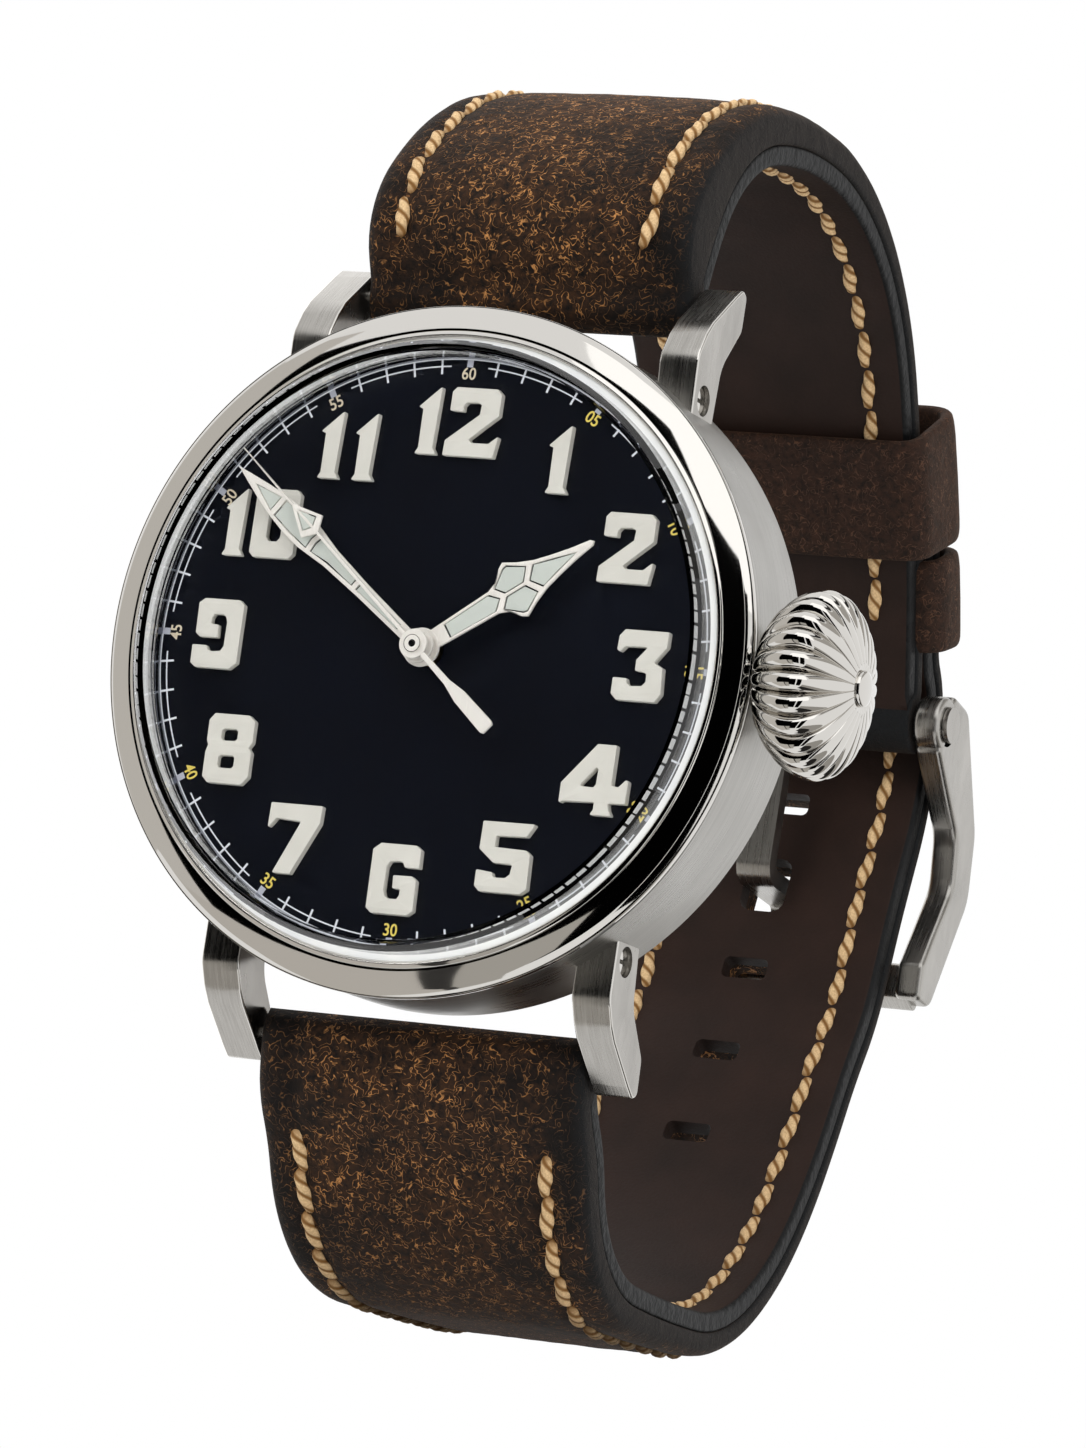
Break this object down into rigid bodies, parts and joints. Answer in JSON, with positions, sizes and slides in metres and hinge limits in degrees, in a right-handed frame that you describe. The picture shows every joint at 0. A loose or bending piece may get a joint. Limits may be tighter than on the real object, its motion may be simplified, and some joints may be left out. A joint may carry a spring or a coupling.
{
  "type": "pilot wristwatch",
  "caption": "Large round wristwatch with domed crystal, onion crown, skeleton hands and four lugs, buckled into a loop on a thick padded leather strap with keepers.",
  "frame": {"origin": "centre of the case back's flat outer face, on the axis of the hands", "axes": "-Y out of the dial towards the reader, +Y out of the case back towards the wrist, +Z to twelve o'clock, +X to the crown at three o'clock"},
  "size_m": [0.0519, 0.0745, 0.0832],
  "materials": {
    "polished_steel": "polished steel",
    "brushed_steel": "brushed steel",
    "fine_steel": "fine turned steel",
    "hand_steel": "polished steel hands",
    "lume": "luminous filling",
    "dial_black": "satin black lacquer",
    "ring_black": "black",
    "crystal_glass": "domed sapphire crystal",
    "seal_rubber": "sealing ring",
    "movement_brass": "rhodium plated brass",
    "strap_nubuck": "worn dark brown nubuck",
    "strap_lining": "smooth dark brown lining",
    "keeper_leather": "brown nubuck"
  },
  "bodies": {
    "case": {"mid_case": "brushed_steel", "case_back": "brushed_steel", "case_back_gasket": "seal_rubber", "bezel": "polished_steel", "crystal": "crystal_glass", "crystal_gasket": "seal_rubber", "flange_ring": "ring_black", "dial": "dial_black", "mainplate": "movement_brass", "movement_bridge": "movement_brass", "bridge_screws": "fine_steel", "balance_cock": "movement_brass", "rotor_bearing": "fine_steel", "movement_holder": "movement_brass", "crown_tube": "fine_steel", "upper_crown_side_lug": "brushed_steel", "upper_far_side_lug": "brushed_steel", "lower_crown_side_lug": "brushed_steel", "lower_far_side_lug": "brushed_steel", "lug_screws": "fine_steel", "upper_spring_bar": "fine_steel", "lower_spring_bar": "fine_steel", "upper_strap_lining": "strap_lining", "upper_strap_leather": "strap_nubuck", "lower_strap_lining": "strap_lining", "lower_strap_leather": "strap_nubuck", "fixed_keeper": "keeper_leather", "buckle_bar": "brushed_steel"},
    "hour": {"hour_hand": "hand_steel", "hour_hand_lume": "lume", "hour_wheel": "fine_steel"},
    "minute": {"minute_hand": "hand_steel", "minute_hand_lume": "lume", "cannon_pinion": "fine_steel"},
    "seconds": {"seconds_hand": "hand_steel", "seconds_hand_lume": "lume", "seconds_arbor": "fine_steel"},
    "balance": {"balance_wheel": "movement_brass"},
    "rotor": {"rotor": "movement_brass"},
    "crown_pull": {"setting_lever": "fine_steel"},
    "crown_turn": {"crown": "polished_steel", "stem": "fine_steel", "crown_gasket": "seal_rubber"},
    "keeper": {"free_keeper": "keeper_leather"},
    "buckle": {"buckle_frame": "brushed_steel"},
    "tongue": {"buckle_tongue": "brushed_steel"}
  },
  "joints": [
    {"name": "minute_turn", "type": "hinge", "parent": "case", "child": "minute", "pos_m": [0, -0.0105, 0], "axis": [0, 1, 0], "continuous": true},
    {"name": "hour_turn", "type": "hinge", "parent": "case", "child": "hour", "pos_m": [0, -0.0095, 0], "axis": [0, 1, 0], "continuous": true},
    {"name": "seconds_turn", "type": "hinge", "parent": "case", "child": "seconds", "pos_m": [0, -0.0112, 0], "axis": [0, 1, 0], "continuous": true},
    {"name": "balance_swing", "type": "hinge", "parent": "case", "child": "balance", "pos_m": [-0.00691, -0.0052, -0.00622], "axis": [0, 1, 0], "range_deg": [-270, 270], "stiffness_Nm_per_rad": 0.0000008},
    {"name": "rotor_turn", "type": "hinge", "parent": "case", "child": "rotor", "pos_m": [0, -0.0034, 0], "axis": [0, 1, 0], "continuous": true},
    {"name": "crown_pull", "type": "slide", "parent": "case", "child": "crown_pull", "axis": [1, 0, 0], "range_m": [0, 0.0018]},
    {"name": "crown_turn", "type": "hinge", "parent": "crown_pull", "child": "crown_turn", "pos_m": [0.0226, -0.0075, 0], "axis": [1, 0, 0], "continuous": true},
    {"name": "keeper_slide", "type": "hinge", "parent": "case", "child": "keeper", "pos_m": [0, -0.02782, -0.01465], "axis": [1, 0, 0], "range_deg": [0, 2]},
    {"name": "buckle_swing", "type": "hinge", "parent": "case", "child": "buckle", "pos_m": [0, 0.0512, 0.007], "axis": [1, 0, 0], "range_deg": [0, 2]},
    {"name": "tongue_swing", "type": "hinge", "parent": "buckle", "child": "tongue", "pos_m": [0, 0.0512, 0.007], "axis": [1, 0, 0], "range_deg": [0, 3]}
  ],
  "couplings": [
    {"joint": "minute_turn", "follows": "seconds_turn", "ratio": 0.016667},
    {"joint": "hour_turn", "follows": "seconds_turn", "ratio": 0.0013889}
  ]
}
